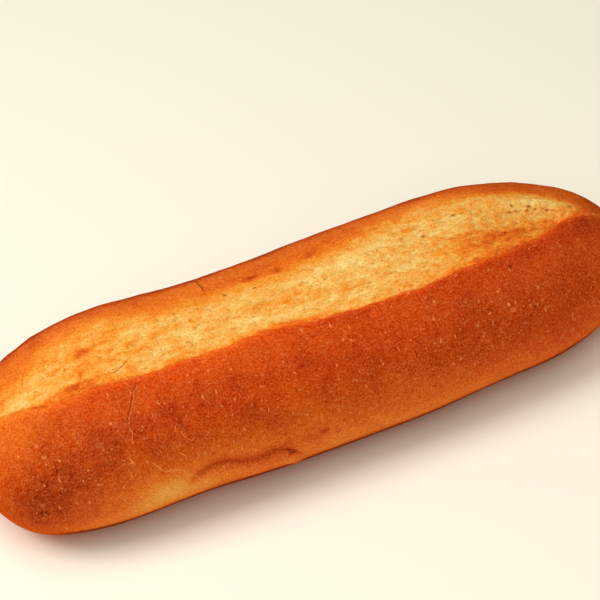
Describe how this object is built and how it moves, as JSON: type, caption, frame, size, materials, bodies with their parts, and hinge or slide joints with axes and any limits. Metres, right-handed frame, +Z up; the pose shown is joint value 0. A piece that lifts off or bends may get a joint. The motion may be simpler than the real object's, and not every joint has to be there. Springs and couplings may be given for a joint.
{
  "type": "hot dog bun",
  "caption": "Long soft bread roll with rounded ends, a flat base and a lengthwise split on top that shows pale crumb behind a raised crust lip.",
  "frame": {"origin": "middle of the flat base the roll lies on", "axes": "+X along the roll to its slimmer end, +Z up, -Y to the side whose crust lifts into the lip of the split"},
  "size_m": [0.19, 0.0618, 0.043],
  "materials": {
    "crust": "browned bread crust, satin to matt, with a rough band of pale golden crumb along the split on top"
  },
  "bodies": {
    "root": {"bun": "crust"}
  },
  "joints": []
}
